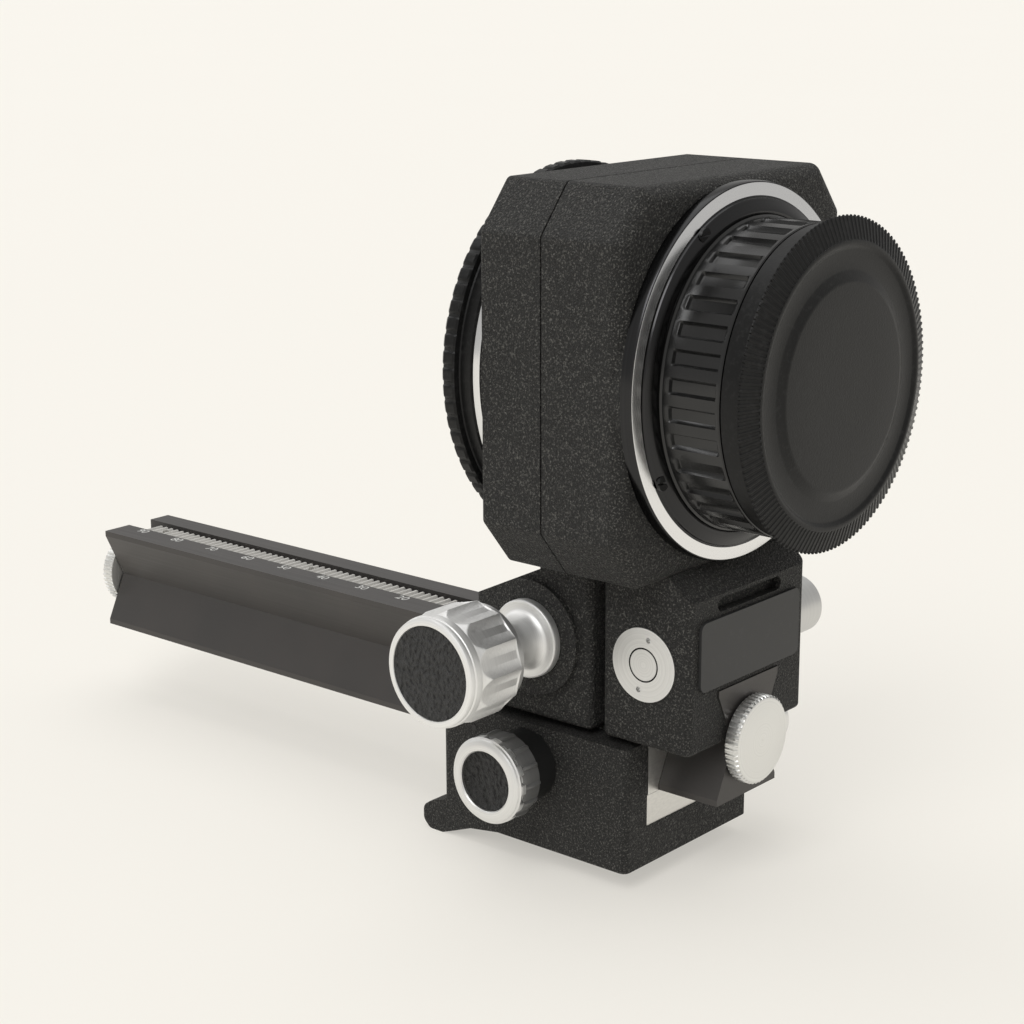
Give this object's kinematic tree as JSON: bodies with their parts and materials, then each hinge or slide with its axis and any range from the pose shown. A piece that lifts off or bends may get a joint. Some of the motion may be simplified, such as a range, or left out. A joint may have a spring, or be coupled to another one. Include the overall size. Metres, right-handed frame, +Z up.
{
  "type": "macro bellows unit",
  "caption": "Macro bellows unit with camera and lens standards on a dovetail rail, focus rack and pinion, tripod block and end caps.",
  "frame": {"origin": "mouth of the tripod socket, in the plane the unit stands on", "axes": "+Y along the rail from the camera end to the lens end, +Z up, +X to the right seen from the camera end"},
  "size_m": [0.0698, 0.1654, 0.1121],
  "materials": {
    "black_casting": "black wrinkle paint on aluminium castings",
    "steel": "plain steel",
    "bright_jaw": "milled, uncoated",
    "black_anodised": "satin black",
    "satin_aluminium": "satin turned",
    "leatherette": "grained black covering disc",
    "dark_rail": "dark grey anodised",
    "rack_steel": "bright cut teeth",
    "plate_enamel": "semi-gloss dark grey",
    "brass_pad": "plain brass",
    "chrome_ring": "polished chrome",
    "gloss_black": "gloss black",
    "black_plastic": "fine grained satin black",
    "bellows_cloth": "matt black coated cloth"
  },
  "bodies": {
    "tripod_block": {"base_block": "black_casting", "tripod_bush": "steel", "jaw_bed": "bright_jaw", "bed_screws": "steel", "base_pins": "steel", "clamp_collar": "black_anodised"},
    "jaw": {"clamp_jaw": "bright_jaw"},
    "clamp_drive": {"clamp_knob": "black_anodised", "clamp_knob_ring": "satin_aluminium", "clamp_knob_insert": "leatherette", "clamp_screw": "steel"},
    "base_lock": {"base_lock_knob": "satin_aluminium", "base_lock_screw": "steel"},
    "rail_unit": {"rail": "dark_rail", "rack": "rack_steel", "rack_screws": "steel", "rear_standard": "black_casting", "rear_plate": "plate_enamel", "rear_shaft_cap": "black_anodised", "rear_clamp_pad": "brass_pad", "rear_mount_ring": "chrome_ring", "rear_mount_screws": "steel", "rear_bellows_frame": "black_anodised", "rear_frame_screws": "steel", "bellows": "bellows_cloth"},
    "near_stop": {"near_stop_screw": "satin_aluminium"},
    "far_stop": {"far_stop_screw": "satin_aluminium"},
    "rear_lock": {"rear_lock_shaft": "steel", "rear_lock_knob": "satin_aluminium"},
    "camera_coupling": {"camera_ring": "gloss_black", "camera_thread": "black_anodised", "ring_retainer": "black_anodised", "retainer_screws": "steel"},
    "camera_cap": {"rear_cap": "black_plastic"},
    "lens_carriage": {"front_standard": "black_casting", "front_shaft_cap": "black_anodised", "front_mount_ring": "chrome_ring", "front_mount_screws": "steel", "lens_thread": "black_anodised", "pinion_bush": "black_anodised", "front_bellows_frame": "black_anodised", "front_frame_screws": "steel"},
    "lens_cap": {"front_cap": "black_plastic"},
    "focus_drive": {"pinion_shaft": "steel", "pinion": "brass_pad", "focus_knob": "satin_aluminium", "focus_knob_ring": "satin_aluminium", "focus_knob_insert": "leatherette"}
  },
  "joints": [
    {"name": "rail_slide", "type": "slide", "parent": "tripod_block", "child": "rail_unit", "axis": [0, 1, 0], "range_m": [-0.095, 0.01]},
    {"name": "jaw_slide", "type": "slide", "parent": "tripod_block", "child": "jaw", "axis": [-1, 0, 0], "range_m": [0, 0.00025]},
    {"name": "clamp_turn", "type": "hinge", "parent": "tripod_block", "child": "clamp_drive", "pos_m": [-0.0217, 0.0029, 0.0172], "axis": [1, 0, 0], "range_deg": [0, 180]},
    {"name": "base_lock_turn", "type": "hinge", "parent": "tripod_block", "child": "base_lock", "pos_m": [0.022, -0.0136, 0.0172], "axis": [1, 0, 0], "range_deg": [-180, 180]},
    {"name": "rear_lock_turn", "type": "hinge", "parent": "rail_unit", "child": "rear_lock", "pos_m": [0.022, -0.01936, 0.0384], "axis": [1, 0, 0], "range_deg": [-90, 90]},
    {"name": "near_stop_turn", "type": "hinge", "parent": "rail_unit", "child": "near_stop", "pos_m": [0, -0.0297, 0.0245], "axis": [0, 1, 0], "continuous": true},
    {"name": "far_stop_turn", "type": "hinge", "parent": "rail_unit", "child": "far_stop", "pos_m": [0, 0.1205, 0.0245], "axis": [0, 1, 0], "continuous": true},
    {"name": "camera_ring_turn", "type": "hinge", "parent": "rail_unit", "child": "camera_coupling", "pos_m": [0, -0.033, 0.0822], "axis": [0, 1, 0], "continuous": true},
    {"name": "camera_cap_off", "type": "slide", "parent": "camera_coupling", "child": "camera_cap", "axis": [0, -1, 0], "range_m": [0, 0.03]},
    {"name": "focus_slide", "type": "slide", "parent": "rail_unit", "child": "lens_carriage", "axis": [0, 1, 0], "range_m": [0, 0.1], "deforming": ["bellows"]},
    {"name": "lens_cap_off", "type": "slide", "parent": "lens_carriage", "child": "lens_cap", "axis": [0, 1, 0], "range_m": [0, 0.03]},
    {"name": "focus_turn", "type": "hinge", "parent": "lens_carriage", "child": "focus_drive", "pos_m": [-0.0335, 0.0029, 0.0384], "axis": [1, 0, 0], "range_deg": [-1200, 0]}
  ],
  "couplings": [
    {"joint": "focus_turn", "follows": "focus_slide", "rad_per_m": -200},
    {"joint": "clamp_turn", "follows": "jaw_slide", "rad_per_m": 12566}
  ]
}
